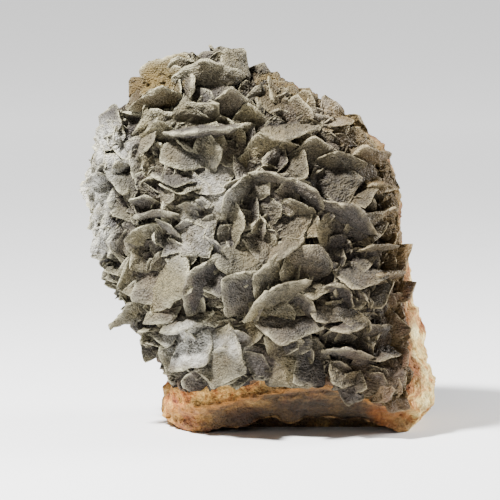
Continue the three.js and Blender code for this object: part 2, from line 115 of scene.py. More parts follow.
# The crystals of the front: x, height, radius, tilt, lean, stand and point. Tilt is the angle
# from facing the viewer, lean the way that the face looks (0 up, 90 right, 180 down, -90 left)
# and stand how far the middle is in front of the bed.
TOP_CRYSTALS = (
    (-30, 116.8, 9.3, 20, -60, 2, 0.1),
    (-18, 122.2, 6, 35, -35, 0, 0.5),
    (-9, 122.6, 5.5, 30, 50, 1, 0.4),
    (-18.7, 115.9, 10, 30, 180, 3, 0.15),
    (-8.3, 117.4, 5.8, 25, 90, 1, 0.6),
    (-0.7, 116.5, 5.8, 25, 20, 0, 0.3),
    (2.4, 114.4, 5.2, 30, 30, 1, 0.3),
    (7.4, 112.4, 5.4, 35, 45, 1, 0.4),
    (13.6, 109.6, 5.2, 35, 30, 1, 0.2),
    (-33, 114.7, 4.6, 40, -30, 4, 0.7),
    (-28, 113.3, 4.8, 75, -80, 5, 0.2),
    (-24.7, 113.8, 6.4, 72, -85, 6, 0.5),
    (-17, 112.5, 6.2, 45, -20, 5, 0.5),
    (-40.7, 113.3, 4.8, 35, -60, 1, 0.3),
    (-40.3, 109.2, 5, 50, -20, 1, 0.3),
    (-32.7, 110, 8.6, 50, 168, 5, 0.8),
    (9, 108.5, 6.4, 25, 15, 1, 0.2),
    (5.3, 112.4, 5.2, 72, 60, 2, 0.3),
    (-8.7, 107.8, 9.2, 45, 175, 4, 0.6),
    (-4.7, 103.4, 6.2, 30, 170, 3, 0.3),
    (-24.3, 104.1, 8, 25, -15, 3, 0.1),
    (-18.3, 105.5, 6.6, 45, -140, 3, 0.3),
    (21, 105.7, 7.2, 50, 30, 0, 0.1),
    (18, 107, 4.8, 35, 70, 2, 0.7),
    (23.7, 105.7, 5.2, 35, 60, 2, 0.6),
    (3.7, 109.2, 5.6, 65, 20, 2, 0.4),
    (10.3, 104.7, 7.6, 25, 5, 2, 0.2),
    (1.7, 105.1, 4.2, 30, 60, 2, 0.5),
    (9.3, 101.5, 8.8, 80, -6, 4, 0.2),
    (1.3, 99, 3.8, 60, 5, 2, 0.4),
    (18.3, 97.7, 6, 20, 20, 2, 0.2),
    (24.3, 99.6, 5.4, 25, -30, 2, 0.7),
    (25, 103.6, 6, 80, -5, 3, 0.3),
    (30.3, 102.7, 4.2, 40, -150, 1, 0.3),
)
UPPER_LEFT_CRYSTALS = (
    (-50.7, 103, 5.5, 50, -70, 3, 0.5),
    (-51.3, 98.7, 5.2, 45, -85, 2, 0.2),
    (-47, 99, 4.1, 60, 75, 3, 0.4),
    (-43.3, 98, 4.6, 30, -30, 3, 0.4),
    (-38.3, 98.7, 6.4, 65, -60, 4, 0.3),
    (-32.7, 99.3, 7, 40, 180, 5, 0.5),
    (-41.3, 103.9, 6, 30, -20, 1, 0.3),
    (-36.3, 104.2, 5.2, 45, 70, 2, 0.4),
    (-18, 101.3, 11, 80, 175, 5, 0.3),
    (-17.3, 94.6, 7.6, 58, -100, 5, 0.3),
    (-25.7, 94.3, 8, 40, -5, 4, 0.8),
    (-29.3, 90.7, 5.4, 30, 0, 1, 0.2),
    (-18.7, 90.5, 4.2, 25, 20, 3, 0.4),
    (-49.7, 89.6, 7.8, 35, -50, 3, 0.2),
    (-54, 89.3, 4.8, 60, -80, 2, 0.2),
    (-44.7, 94.6, 4.6, 50, 0, 3, 0.4),
    (-40, 89.3, 4, 30, 20, 3, 0.4),
    (-36.3, 88.7, 4.8, 45, 60, 2, 0.6),
    (-40.3, 83.4, 6, 35, -50, 3, 0.5),
    (-54.3, 83.7, 5.5, 60, 170, 2, 1),
    (-49.7, 82.4, 6.2, 45, -50, 5, 0.7),
    (-45, 84.7, 6, 55, 10, 2, 0.3),
    (-54.4, 79.1, 3.4, 60, -90, 1, 0.2),
    (-51.3, 75.3, 5.8, 40, -60, 3, 0.1),
    (-44.3, 74, 4.3, 45, 0, 3, 0.4),
    (-48.3, 72.3, 3, 70, -80, 3, 0.3),
    (-38, 77.2, 5.4, 55, -170, 4, 0.5),
    (-33.7, 74.3, 6.7, 72, 180, 4, 0.5),
    (-27.7, 86.6, 7.2, 72, 3, 3, 0.3),
    (-25, 79.1, 7.2, 20, -20, 4, 0.1),
    (-31.7, 80.8, 5.4, 60, -70, 3, 0.3),
    (-25.3, 84, 6.2, 75, 0, 4, 0.4),
    (-16, 86.4, 7.2, 40, -20, 3, 0.6),
    (-15.3, 78.5, 6.4, 45, -75, 5, 0.2),
    (-19.7, 77, 5.5, 20, 20, 2, 0.3),
)
UPPER_RIGHT_CRYSTALS = (
    (2.3, 94.3, 7.2, 25, 170, 3, 0.5),
    (16.7, 92.5, 7.8, 28, 180, 4, 0.15),
    (35, 91.5, 8.4, 60, 170, 2, 0.2),
    (38.5, 89, 5.5, 50, 60, 0, 0.1),
    (-7.7, 92.7, 6.8, 25, 20, 3, 0.5),
    (-6, 97.1, 2.9, 50, 70, 4, 0.7),
    (10.7, 89.7, 6.4, 45, -60, 3, 0.2),
    (5, 90.7, 5.4, 30, 100, 1, 0.3),
    (26.3, 90.7, 7.2, 45, 180, 3, 0.2),
    (25, 84.5, 7.2, 30, -20, 2, 0.7),
    (16.3, 83.4, 4.3, 40, 60, 2, 0.5),
    (-10, 83.4, 4.8, 62, 145, 4, 0.5),
    (-8, 80.5, 8.4, 60, 118, 5, 0.5),
    (3, 86.4, 7.6, 66, -165, 4, 0.3),
    (6, 81, 7.2, 25, -20, 6, 0.6),
    (15.7, 80.1, 7.4, 55, -135, 6, 0.6),
    (29.7, 73.5, 10, 62, -153, 6, 0.5),
    (33.3, 80.8, 6, 65, -15, 3, 0.6),
    (40, 84.3, 6, 60, 20, 3, 0.2),
    (39.7, 76.9, 6, 35, 30, 0, 0.2),
    (40, 73, 4.8, 75, 145, 2, 0.3),
    (37, 63, 6, 72, 170, 3, 0.4),
    (31, 66.5, 6, 30, 190, 1, 0.3),
)
MIDDLE_CRYSTALS = (
    (-49, 68.1, 4.6, 55, 0, 3, 0.3),
    (-51.3, 62.9, 6.2, 20, -30, 3, 0.1),
    (-52.5, 67.5, 3.6, 75, 180, 2, 0.2),
    (-50.5, 55.9, 2.9, 30, -20, 1, 0.5),
    (-43.7, 67.1, 6.8, 50, -80, 5, 0.2),
    (-37.3, 67.2, 6, 40, 165, 5, 0.2),
    (-30.7, 69.7, 4.8, 70, -140, 4, 0.5),
    (-28.3, 65.2, 4.8, 45, -45, 2, 0.4),
    (-24.7, 70.1, 4.4, 40, 160, 3, 0.4),
    (-21.7, 66.5, 7.2, 35, -40, 5, 0.6),
    (-30.3, 51.9, 10.2, 58, -65, 6, 0.4),
    (-25, 55.6, 5.4, 30, 30, 5, 0.6),
    (-35.3, 50.7, 7.2, 35, -30, 4, 0.5),
    (-44.7, 58.6, 4.2, 30, -10, 2, 0.3),
    (-42.7, 50.4, 6, 55, -70, 2, 0.5),
    (-45, 47.3, 4.2, 60, -80, 0, 0.2),
    (-19.7, 50.9, 9.8, 50, 118, 7, 0.5),
    (-11, 51.4, 7.6, 25, -50, 4, 0.2),
    (-5, 60.6, 9.4, 38, 0, 5, 0.6),
    (-5.3, 48.7, 9.6, 42, 130, 6, 0.3),
    (-16.3, 64.2, 6, 65, -130, 3, 0.3),
    (-8.3, 71.4, 6.6, 68, -85, 5, 0.3),
    (-3.3, 72.5, 7.2, 20, 30, 4, 0.6),
    (-0.3, 69.1, 3.6, 60, -80, 6, 0.8),
    (3, 70.5, 5.2, 30, 30, 3, 0.5),
    (9.3, 70.5, 6.2, 35, -30, 3, 0.7),
    (15.3, 70.8, 4.8, 45, -50, 4, 0.8),
    (7, 63.9, 7.8, 74, -30, 4, 0.3),
    (15.5, 58.4, 8.8, 25, 180, 5, 0.1),
    (6.3, 54.6, 9.6, 38, 120, 4, 0.1),
    (5.3, 52.6, 4.8, 55, 45, 8, 0.9),
    (9.7, 55.9, 4.4, 50, -60, 8, 0.8),
    (5.3, 47.3, 9.8, 58, 150, 7, 0.6),
    (15.7, 51.4, 6.6, 68, 5, 7, 0.3),
    (24, 50.6, 5.4, 70, 175, 3, 0.3),
    (26.3, 53.8, 4.8, 30, 0, 2, 0.2),
    (32, 55.3, 8.4, 68, 8, 3, 0.2),
    (44, 58.4, 5.4, 20, -40, 2, 0.2),
    (37.7, 58.9, 3.1, 40, 130, 2, 0.7),
    (40, 53.6, 6, 75, 172, 2, 0.3),
    (37.7, 47.9, 6, 35, -30, 3, 0.7),
    (46, 47.6, 5.3, 35, -30, 2, 0.8),
    (32.3, 47.9, 5.4, 68, -132, 4, 0.4),
    (27, 47.6, 4.8, 50, -130, 3, 0.4),
    (-13.7, 46.6, 3, 40, -40, 6, 0.5),
    (22, 61.5, 5.4, 40, 60, 1, 0.3),
)
LOWER_CRYSTALS = (
    (21.7, 44.4, 7.8, 48, 20, 5, 0.8),
    (20.3, 40.7, 5.4, 55, -170, 5, 0.6),
    (29.7, 41.8, 5.4, 55, 15, 4, 0.6),
    (28, 38.3, 6, 78, 0, 5, 0.3),
    (8.7, 38.6, 8.8, 58, 0, 6, 0.8),
    (18.3, 38.2, 3.6, 45, -30, 4, 0.4),
    (9.3, 25, 8.8, 15, -40, 6, 0.3),
    (17, 23.3, 7.2, 40, 55, 5, 0.4),
    (16.7, 31.1, 5.2, 40, -150, 4, 0.6),
    (29, 28.8, 7.6, 68, -175, 5, 0.3),
    (27.3, 23, 5.4, 40, 40, 4, 0.4),
    (30, 17, 4.8, 15, 10, 4, 0.2),
    (34.7, 20.5, 6, 20, 20, 3, 0.2),
    (42.5, 20.5, 6, 25, 10, 3, 0.5),
    (44.5, 12.9, 4.8, 30, 30, 2, 0.2),
    (38.3, 34.3, 5.4, 40, 140, 3, 0.7),
    (43.3, 35.7, 5.8, 15, -80, 1, 0.5),
    (46, 25.7, 4.6, 50, -60, 2, 0.2),
    (39.3, 28.4, 6, 70, 0, 3, 0.3),
    (-7, 27.6, 10, 12, 20, 5, 0.15),
    (-12.7, 28.6, 9.6, 45, -70, 7, 0.4),
    (-11, 38.2, 4.2, 45, 180, 5, 0.6),
    (-8.3, 40.6, 3.6, 45, 10, 5, 0.5),
    (-4.3, 37.6, 6, 35, -70, 5, 0.7),
    (-18.7, 25.7, 5.5, 40, 135, 5, 0.4),
    (-22.7, 30.4, 8.4, 55, -45, 6, 0.2),
    (-16.7, 41.8, 4.8, 25, -20, 4, 0.7),
    (-24.7, 39.4, 7.6, 78, -20, 5, 0.5),
    (-40.5, 40.2, 8.4, 60, 155, 4, 0.6),
    (-32.3, 34.2, 5.4, 40, 0, 2, 0.3),
    (-37, 27.2, 4.6, 35, -60, 1, 0.2),
    (-21, 19.4, 5.4, 40, 150, 3, 0.4),
    (-8.3, 22, 4.8, 35, 0, 5, 0.4),
    (0.5, 43, 4.8, 50, 160, 3, 0.4),
)

LARGE_FACETS = (44, 24)  # segments round and rings of a crystal
LARGE_RADIUS = 7
MIDDLE_FACETS = (28, 16)
GAP_FACETS = (16, 10)
SMALL_FACETS = (8, 4)
GAP_TRIES = 7000
GAP_FIELD = ((-52, 50), (12, 122))
GAP_RADIUS = (2.8, 6.4)
GAP_CLOSENESS = 0.42  # of the two radii, nearer than which a place is taken
COMPANIONS = (2, 5)  # smaller crystals that cut through a listed one
COMPANION_SHARE = (0.4, 0.8)  # of the listed one's radius
SIDE_CRYSTALS = 150
SIDE_RADIUS = (3.6, 7.0)
SIDE_FACING = 0.55  # a place faces sideways or up where its normal looks forward less than this
SMALL_CRYSTALS = 2400
SMALL_RADIUS = (0.9, 2.4)
CLEAR_FRONT = 100  # a distance in front of everything

# The lights, each as place, target, size and watts
KEY_LIGHT = ((-270, -180, 570), (0, 0, 60), 70, 22)
RIGHT_LIGHT = ((430, 90, 220), (30, 0, 50), 200, 5)
FRONT_LIGHT = ((-200, -620, 300), (0, 0, 60), 260, 0.6)
AMBIENT = 0.04
FLOOR_SIZE = 6  # metres
FLOOR_GLOW = (0.25, 0.8)  # metres from the middle between which its own light grows


def between(ends, share):
    return ends[0] + (ends[1] - ends[0]) * share


def clamp(value, low=0.0, high=1.0):
    return max(low, min(high, value))


# Shapes

def node_copy(node):
    """The CAD node as one closed mesh in millimetres."""
    bm = bmesh.new()
    bm.from_mesh(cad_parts[node].data)
    bmesh.ops.remove_doubles(bm, verts=bm.verts, dist=1e-7)
    bmesh.ops.scale(bm, vec=(1 / MM,) * 3, verts=bm.verts)
    return bm


def finished(bm, name, node, material):
    """Turn a bmesh in millimetres into a piece that stands for part of a CAD node."""
    bmesh.ops.scale(bm, vec=(MM,) * 3, verts=bm.verts)
    mesh = bpy.data.meshes.new(name)
    bm.to_mesh(mesh)
    bm.free()
    mesh.materials.append(material)
    piece = bpy.data.objects.new(name, mesh)
    bpy.context.scene.collection.objects.link(piece)
    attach(piece, "root")
    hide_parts(node)
    return piece


def remeshed(bm, size):
    """A bmesh with its surface made again in even squares."""
    mesh = bpy.data.meshes.new("remesh")
    bm.to_mesh(mesh)
    bm.free()
    holder = bpy.data.objects.new("remesh", mesh)
    bpy.context.scene.collection.objects.link(holder)
    modifier = holder.modifiers.new("squares", "REMESH")
    modifier.mode = "VOXEL"
    modifier.voxel_size = size
    ready = holder.evaluated_get(bpy.context.evaluated_depsgraph_get())
    made = bmesh.new()
    made.from_mesh(ready.to_mesh())
    ready.to_mesh_clear()
    bpy.data.objects.remove(holder)
    bpy.data.meshes.remove(mesh)
    return made


def outline_depth(x, z):
    """How far inside the crust's outline a place of the front view is, negative outside it."""
    inside = False
    nearest = 1e9
    last = CRUST_OUTLINE[-1]
    for corner in CRUST_OUTLINE:
        (x1, z1), (x2, z2) = last, corner
        if (z1 > z) != (z2 > z) and x < x1 + (z - z1) / (z2 - z1) * (x2 - x1):
            inside = not inside
        along = clamp(((x - x1) * (x2 - x1) + (z - z1) * (z2 - z1)) / hypot(x2 - x1, z2 - z1) ** 2)
        nearest = min(nearest, hypot(x - x1 - along * (x2 - x1), z - z1 - along * (z2 - z1)))
        last = corner
    return nearest if inside else -nearest


def crust_share(point):
    """1 where the crust covers the rock, 0 where the rock is bare, with a ragged border."""
    depth = min(outline_depth(point.x, point.z), BED_BACK - point.y)
    depth += BORDER_WANDER * noise.noise(point * 0.22)
    return clamp(0.5 + depth / BED_FADE)


def broken(point, size, height):
    """Relief of a broken face: flat cells with steps between them, and a finer grain."""
    cells = noise.cell(point * (1 / size) + 0.6 * noise.noise_vector(point * (0.8 / size)))
    waves = noise.fractal(point * (1 / size), 0.7, 2.1, 4)
    return height * (0.35 * (cells - 0.5) + 0.75 * waves)


def bell(distance, width):
    return exp(-((distance / width) ** 2))


def ridge_height(x):
    for (x1, z1), (x2, z2) in zip(RIDGE, RIDGE[1:]):
        if x < x2:
            return z1 + clamp((x - x1) / (x2 - x1)) * (z2 - z1)
    return RIDGE[-1][1]


def make_rock(skin):
    """The rock: its broken faces, with a ridge and an undercut along its bare front band."""
    bm = remeshed(node_copy("rock_matrix"), ROCK_GRAIN)
    bm.normal_update()
    ridge = bm.verts.layers.float.new("ridge")
    ledge = bm.verts.layers.float.new("ledge")
    for v in bm.verts:
        foot = clamp((v.co.z - FOOT_FLAT) / FOOT_FADE)
        front = clamp(-v.normal.y * 2) * foot
        above = v.co.z - ridge_height(v.co.x) + RIDGE_WANDER * noise.noise(v.co * 0.35)
        v[ridge] = front * bell(above, IRON_WIDTH)
        # ledge falls under 0.5 below the ridge, where the material paints shade, and rises over 0.5
        # above it, where the rock turns paler.
        reach = LEDGE_HEIGHT if above > 0 else SHADE_HEIGHT
        v[ledge] = 0.5 + 0.5 * front * clamp(above / reach, -1, 1)
        under = clamp(-above / UNDERCUT_HEIGHT) * clamp(v.co.z / 4)
        relief = sum(broken(v.co, size, height) for size, height in ROCK_RELIEF)
        v.co += v.normal * relief * foot
        v.co += FRONT * front * (RIDGE_OUT * bell(above, RIDGE_WIDTH) - UNDERCUT * under)
        v.co.z = max(v.co.z, 0)
    return finished(bm, "broken_rock", "rock_matrix", skin)


def make_bed(skin):
    """The thin uneven bed that the crystals grow from; beside it, it dips under the rock."""
    bm = remeshed(node_copy("rock_matrix"), ROCK_GRAIN)
    bm.normal_update()
    proud = bm.verts.layers.float.new("proud")
    stain = bm.verts.layers.float.new("stain")
    tops = []
    for v in bm.verts:
        share = crust_share(v.co)
        lumps = BED_ROUGHNESS * noise.fractal(v.co * 0.4, 0.8, 2.0, 3)
        if share > 0.9:
            tops.append((v.co.copy(), v.normal.copy()))
        border = clamp(1 - min(outline_depth(v.co.x, v.co.z), BED_BACK - v.co.y) / 7)
        # Painted shade: the bed lies deep between the crystals, so it gets a low proud value that the
        # material darkens, less so near the crust's border.
        v[proud] = 0.15 + 0.45 * border
        v[stain] = max(stained(v.co), 0.8 * border)
        v.co += v.normal * between((-BED_SINK, BED_THICKNESS + lumps), share)
    return finished(bm, "crystal_bed", "calcite_crystal_crust", skin), tops


def lens_template(facets):
    """A ball of radius 1 whose equator becomes a crystal's edge."""
    bm = bmesh.new()
    bmesh.ops.create_uvsphere(bm, u_segments=facets[0], v_segments=facets[1], radius=1)
    mesh = bpy.data.meshes.new("lens template")
    bm.to_mesh(mesh)
    bm.free()
    return mesh


class Outline:
    """A crystal's outline, as straight sides that meet in more or less sharp corners."""

    def __init__(self, point, rng):
        spread = radians(between(SPREAD, point))
        self.sides = [
            (back + turn + rng.gauss(0, SPREAD_WANDER), rng.uniform(*MAIN_SIDES))
            for back in (0, pi) for turn in (spread, -spread)
        ]
        self.sides += [(rng.uniform(0, 2 * pi), rng.uniform(*EXTRA_SIDES)) for _ in range(2)]
        self.sharpness = between(SHARPNESS, clamp(point + rng.uniform(-0.2, 0.7)))
        self.nicks = Vector((rng.uniform(0, 99), rng.uniform(0, 99), 0))
        self.size = 1
        self.size = 12 / sum(self.reach(k * pi / 6) for k in range(12))

    def reach(self, angle):
        total = sum(
            max(0, cos(angle - direction) / distance) ** self.sharpness
            for direction, distance in self.sides
        )
        nick = noise.fractal(self.nicks + 2 * Vector((cos(angle), sin(angle), 0)), 0.8, 2.3, 3)
        return self.size * total ** (-1 / self.sharpness) * (1 + NICKS * nick)


class Crystals:
    """A mesh of lens-shaped crystals, with what the material reads from it."""

    def __init__(self, name, facets, skin):
        self.name = name
        self.skin = skin
        self.template = lens_template(facets)
        self.bm = bmesh.new()
        layers = self.bm.verts.layers.float
        self.rim = layers.new("rim")
        self.proud = layers.new("proud")
        self.tint = layers.new("tint")
        self.stain = layers.new("stain")
        self.frost = layers.new("frost")

    def add(self, centre, normal, long_axis, radius, point, rng):
        third = normal.cross(long_axis)
        half = between(THICKNESS, rng.random()) * radius
        outline = Outline(point, rng)
        reaches = {}
        turn = rng.uniform(0, 2 * pi)
        bend = rng.uniform(-FACE_BEND, FACE_BEND)
        bulge = rng.uniform(*BULGE)
        rounding = between(EDGE_ROUNDING, rng.random())
        ridge = rng.uniform(*FACE_RIDGES)
        tint = rng.random()
        stain = stained(centre)
        start = len(self.bm.verts)
        self.bm.from_mesh(self.template)
        self.bm.verts.ensure_lookup_table()
        for v in self.bm.verts[start:]:
            share = min(hypot(v.co.x, v.co.y), 1)
            angle = atan2(v.co.y, v.co.x)
            key = round(angle, 2)
            if key not in reaches:
                reaches[key] = radius * outline.reach(angle)
            side = 0 if abs(v.co.z) < 1e-4 else (1 if v.co.z > 0 else -1)
            three = cos(3 * (angle + turn)) * share
            height = half * (1 - share ** bulge) ** rounding * (1 + ridge * three * side)
            w = (height + BLUNT_EDGE * radius) * side + 0.03 * radius * three
            u = reaches[key] * share * cos(angle)
            t = reaches[key] * share * sin(angle)
            w += bend * (u * u - t * t) / radius
            place = centre + long_axis * u + third * t + normal * w
            place += noise.noise_vector(place * 0.5) * WARP
            place += normal * side * broken(place, FACE_CHIPS, FACE_RELIEF)
            v.co = place
            v[self.rim] = share
            v[self.proud] = proud_of_rock(place)
            v[self.tint] = tint
            v[self.stain] = stain
            v[self.frost] = frosted(place)

    def finish(self):
        bpy.data.meshes.remove(self.template)
        bmesh.ops.recalc_face_normals(self.bm, faces=self.bm.faces)
        return finished(self.bm, self.name, "calcite_crystal_crust", self.skin)


def stained(place):
    """How yellow-brown a crystal is."""
    x, z = BROWN_CORNER
    corner = clamp(1.6 - hypot(place.x - x, place.z - z) / BROWN_CORNER_SIZE)
    right = place.x > (0 if place.z > BROWN_EDGE_HIGH else BROWN_EDGE_LOW_X)
    depth = outline_depth(place.x, place.z)
    edge = clamp(1.1 - depth / BROWN_EDGE_SIZE) if right else 0
    return max(corner, edge)


def frosted(place):
    """How white a place is with a crust of the finest crystals."""
    return max(
        strength * clamp(1.4 - hypot(place.x - x, place.z - z) / size)
        for x, z, size, strength in FROST
    )


# How far a place stands from the rock, 0 to 1; the material paints shade into the low ones.
def proud_of_rock(place):
    distance = rock_tree.find_nearest(place)[3]
    return clamp((distance - PROUD[0]) / (PROUD[1] - PROUD[0]))


def front_place(x, z):
    """The rock's front at a place of the front view, or the nearest of its surface beside it."""
    hit = rock_tree.ray_cast(Vector((x, -CLEAR_FRONT, z)), -FRONT)
    return hit[0] or rock_tree.find_nearest(Vector((x, 0, z)))[0]


def add_front_crystal(crystals, row, rng):
    x, z, radius, tilt, lean, stand, point = row
    tilt, lean = radians(tilt), radians(lean)
    normal = Vector((sin(tilt) * sin(lean), -cos(tilt), sin(tilt) * cos(lean)))
    long_axis = Vector((cos(lean), 0, -sin(lean)))
    reach = radius * (sin(tilt) + THICKNESS[0])
    out = BED_THICKNESS + min(stand, STAND_SHARE * reach)
    centre = Vector((x, front_place(x, z).y - out, z))
    crystals.add(centre, normal, long_axis, radius, point, rng)


def gap_rows(rows, rng):
    """Crystals for the gaps between the listed ones, set a little deeper."""
    found = []
    for _ in range(GAP_TRIES):
        x, z = (rng.uniform(*ends) for ends in GAP_FIELD)
        radius = between(GAP_RADIUS, rng.random())
        near = any(
            hypot(x - row[0], z - row[1]) < GAP_CLOSENESS * (radius + row[2])
            for row in rows + found
        )
        on_rock = rock_tree.ray_cast(Vector((x, -CLEAR_FRONT, z)), -FRONT)[0]
        inside = outline_depth(x, z) > EDGE_SHARE * radius
        if on_rock and inside and not near:
            tilt = between((8, 58), rng.random())
            lean = rng.uniform(-180, 180)
            found.append((x, z, radius, tilt, lean, rng.uniform(-1, 3), rng.random()))
    return found


def companion_rows(rows, rng):
    """Crystals that have grown through the listed ones, mostly at their lower halves."""
    found = []
    for x, z, radius, _, _, stand, _ in rows:
        for _ in range(rng.randint(*COMPANIONS)):
            turn = rng.uniform(-1.3 * pi, 0.3 * pi)
            out = radius * rng.uniform(0.45, 0.95)
            size = max(radius * between(COMPANION_SHARE, rng.random()), SMALL_RADIUS[1])
            place = (x + out * cos(turn), z + out * sin(turn))
            if outline_depth(*place) > EDGE_SHARE * size:
                tilt = between((8, 60), rng.random())
                found.append((*place, size, tilt, rng.uniform(-180, 180),
                              stand * rng.uniform(0.3, 1), rng.uniform(0.2, 1)))
    return found


def make_crystals(tops, skin):
    rng = random.Random(SEED)
    rows = list(
        TOP_CRYSTALS + UPPER_LEFT_CRYSTALS + UPPER_RIGHT_CRYSTALS + MIDDLE_CRYSTALS + LOWER_CRYSTALS
    )
    large = Crystals("large_crystals", LARGE_FACETS, skin)
    middle = Crystals("middle_crystals", MIDDLE_FACETS, skin)
    for row in rows:
        add_front_crystal(large if row[2] >= LARGE_RADIUS else middle, row, rng)
    large.finish()
    middle.finish()

    companions = Crystals("companion_crystals", GAP_FACETS, skin)
    for row in companion_rows(rows, rng):
        add_front_crystal(companions, row, rng)
    companions.finish()

    gaps = Crystals("gap_crystals", GAP_FACETS, skin)
    for row in gap_rows(rows, rng):
        add_front_crystal(gaps, row, rng)
    gaps.finish()

    side = Crystals("side_crystals", GAP_FACETS, skin)
    sides = [top for top in tops if top[1].y > -SIDE_FACING]
    for place, out in rng.sample(sides, SIDE_CRYSTALS):
        add_side_crystal(side, place, out, between(SIDE_RADIUS, rng.random()), rng)
    side.finish()

    small = Crystals("small_crystals", SMALL_FACETS, skin)
    for place, out in rng.sample(tops, SMALL_CRYSTALS):
        add_side_crystal(small, place, out, between(SMALL_RADIUS, rng.random() ** 1.5), rng)
    small.finish()


def add_side_crystal(crystals, place, out, radius, rng):
    """A crystal that stands on edge, more or less, on the rock wherever that faces."""
    spin = rng.uniform(0, 2 * pi)
    along = out.orthogonal().normalized()
    flat = along * cos(spin) + out.cross(along) * sin(spin)
    normal = (flat + out * rng.uniform(-0.75, 0.75)).normalized()
    long_axis = out.cross(normal).normalized()
    centre = place + out * (BED_THICKNESS + rng.uniform(-0.1, 0.35) * radius)
    radius = min(radius, outline_depth(centre.x, centre.z) / EDGE_SHARE)
    if radius > SMALL_RADIUS[0]:
        crystals.add(centre, normal, long_axis, radius, rng.random(), rng)


# Materials

def colour(red, green, blue):
    """A colour as a screen shows it, 0 to 255, made linear for the shader."""
    return tuple((part / 255) ** 2.2 for part in (red, green, blue)) + (1,)


def add_node(tree, kind, inputs=None, **settings):
    made = tree.nodes.new(kind)
    for name, value in settings.items():
        setattr(made, name, value)
    for key, value in (inputs or {}).items():
        if isinstance(value, bpy.types.NodeSocket):
            tree.links.new(value, made.inputs[key])
        else:
            made.inputs[key].default_value = value
    return made


def ramp(tree, factor, stops):
    """A colour or grey that changes with factor; stops are (place, colour or number)."""
    made = add_node(tree, "ShaderNodeValToRGB", {"Fac": factor})
    elements = made.color_ramp.elements
    while len(elements) < len(stops):
        elements.new(0.5)
    for element, (place, value) in zip(elements, stops):
        element.position = place
        element.color = value if isinstance(value, tuple) else (value, value, value, 1)
    return made.outputs["Color"]


def noise_of(tree, vector, size, detail=3.0, roughness=0.55, distortion=0.0):
    """Noise from 0 to 1 with features of a size in millimetres."""
    made = add_node(tree, "ShaderNodeTexNoise", {
        "Vector": vector, "Scale": 1000 / size, "Detail": detail, "Roughness": roughness,
        "Distortion": distortion,
    })
    return made.outputs["Fac"]


def mixed(tree, factor, first, second, blend="MIX"):
    made = add_node(tree, "ShaderNodeMix", data_type="RGBA", blend_type=blend)
    for index, value in ((0, factor), (6, first), (7, second)):
        if isinstance(value, bpy.types.NodeSocket):
            tree.links.new(value, made.inputs[index])
        else:
            made.inputs[index].default_value = value
    return made.outputs[2]


def maths(tree, operation, first, second):
    made = add_node(tree, "ShaderNodeMath", {0: first, 1: second}, operation=operation)
    return made.outputs[0]


def attribute(tree, name):
    made = add_node(tree, "ShaderNodeAttribute", attribute_name=name)
    return made.outputs["Fac"]


def grain_group():
    """Grains of sugary calcite and rock: a height for a bump, and specks for a colour."""
    group = bpy.data.node_groups.new("mineral grain", "ShaderNodeTree")
    sockets = group.interface
    sockets.new_socket("Vector", in_out="INPUT", socket_type="NodeSocketVector")
    size = sockets.new_socket("Grains per metre", in_out="INPUT", socket_type="NodeSocketFloat")
    size.default_value = 1200
    sockets.new_socket("Height", in_out="OUTPUT", socket_type="NodeSocketFloat")
    sockets.new_socket("Specks", in_out="OUTPUT", socket_type="NodeSocketFloat")
    given = group.nodes.new("NodeGroupInput")
    result = group.nodes.new("NodeGroupOutput")
    cells = add_node(group, "ShaderNodeTexVoronoi", {
        "Vector": given.outputs["Vector"], "Scale": given.outputs["Grains per metre"],
    })
    fine = add_node(group, "ShaderNodeTexNoise", {
        "Vector": given.outputs["Vector"], "Scale": given.outputs["Grains per metre"],
        "Detail": 3.0, "Roughness": 0.7,
    })
    height = maths(group, "ADD", cells.outputs["Distance"], fine.outputs["Fac"])
    group.links.new(height, result.inputs["Height"])
    each = add_node(group, "ShaderNodeSeparateColor", {"Color": cells.outputs["Color"]})
    both = maths(group, "ADD", maths(group, "MULTIPLY", each.outputs["Red"], 0.45),
                 ramp(group, fine.outputs["Fac"], ((0.35, 0.0), (0.65, 0.55))))
    group.links.new(both, result.inputs["Specks"])
    return group


def new_material(name):
    material = bpy.data.materials.new(name)
    material.use_nodes = True
    tree = material.node_tree
    shader = tree.nodes["Principled BSDF"]
    vector = add_node(tree, "ShaderNodeTexCoord").outputs["Object"]
    return material, tree, shader, vector


def grained(tree, vector, group, per_metre):
    made = add_node(tree, "ShaderNodeGroup", node_tree=group)
    tree.links.new(vector, made.inputs["Vector"])
    made.inputs["Grains per metre"].default_value = per_metre
    return made.outputs["Height"], made.outputs["Specks"]


def bumped(tree, shader, height, strength, distance, normal=None):
    made = add_node(tree, "ShaderNodeBump", {
        "Height": height, "Strength": strength, "Distance": distance,
    })
    if normal:
        tree.links.new(normal, made.inputs["Normal"])
    tree.links.new(made.outputs["Normal"], shader.inputs["Normal"])
    return made.outputs["Normal"]


